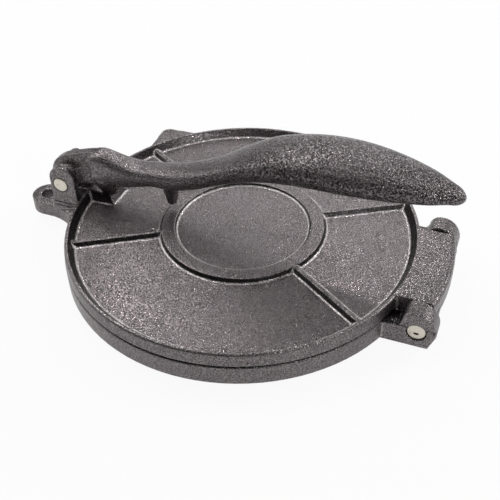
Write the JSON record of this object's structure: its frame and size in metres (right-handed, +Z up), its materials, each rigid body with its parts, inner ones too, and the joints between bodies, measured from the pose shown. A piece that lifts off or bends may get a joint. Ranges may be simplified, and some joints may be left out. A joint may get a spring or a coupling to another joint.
{
  "type": "tortilla press",
  "caption": "Round cast tortilla press: a hinged upper plate over a footed base, pressed down by a long curved lever with a rounded grip.",
  "frame": {"origin": "on the table, at the middle of the press's length and width; the plates' common centre line stands 9.5 mm from it towards +X", "axes": "+Z up; +X from the lever's pivot towards the plates' hinge; +Y towards the back, along both pins"},
  "size_m": [0.2588, 0.2014, 0.0881],
  "materials": {
    "casting": "dark grey hammered enamel over iron",
    "pin": "bright, slightly warm plated ends"
  },
  "bodies": {
    "base": {"base": "casting", "hinge_pin": "pin", "lever_pin": "pin"},
    "upper_plate": {"upper_plate": "casting"},
    "lever": {"lever": "casting"}
  },
  "joints": [
    {"name": "lever_pivot", "type": "hinge", "parent": "base", "child": "lever", "pos_m": [-0.1008, 0, 0.0324], "axis": [0, -1, 0], "range_deg": [0, 140]},
    {"name": "plate_hinge", "type": "hinge", "parent": "base", "child": "upper_plate", "pos_m": [0.119, 0, 0.0139], "axis": [0, 1, 0], "range_deg": [0, 110]}
  ],
  "couplings": [
    {"joint": "plate_hinge", "follows": "lever_pivot", "ratio": 0.08}
  ]
}
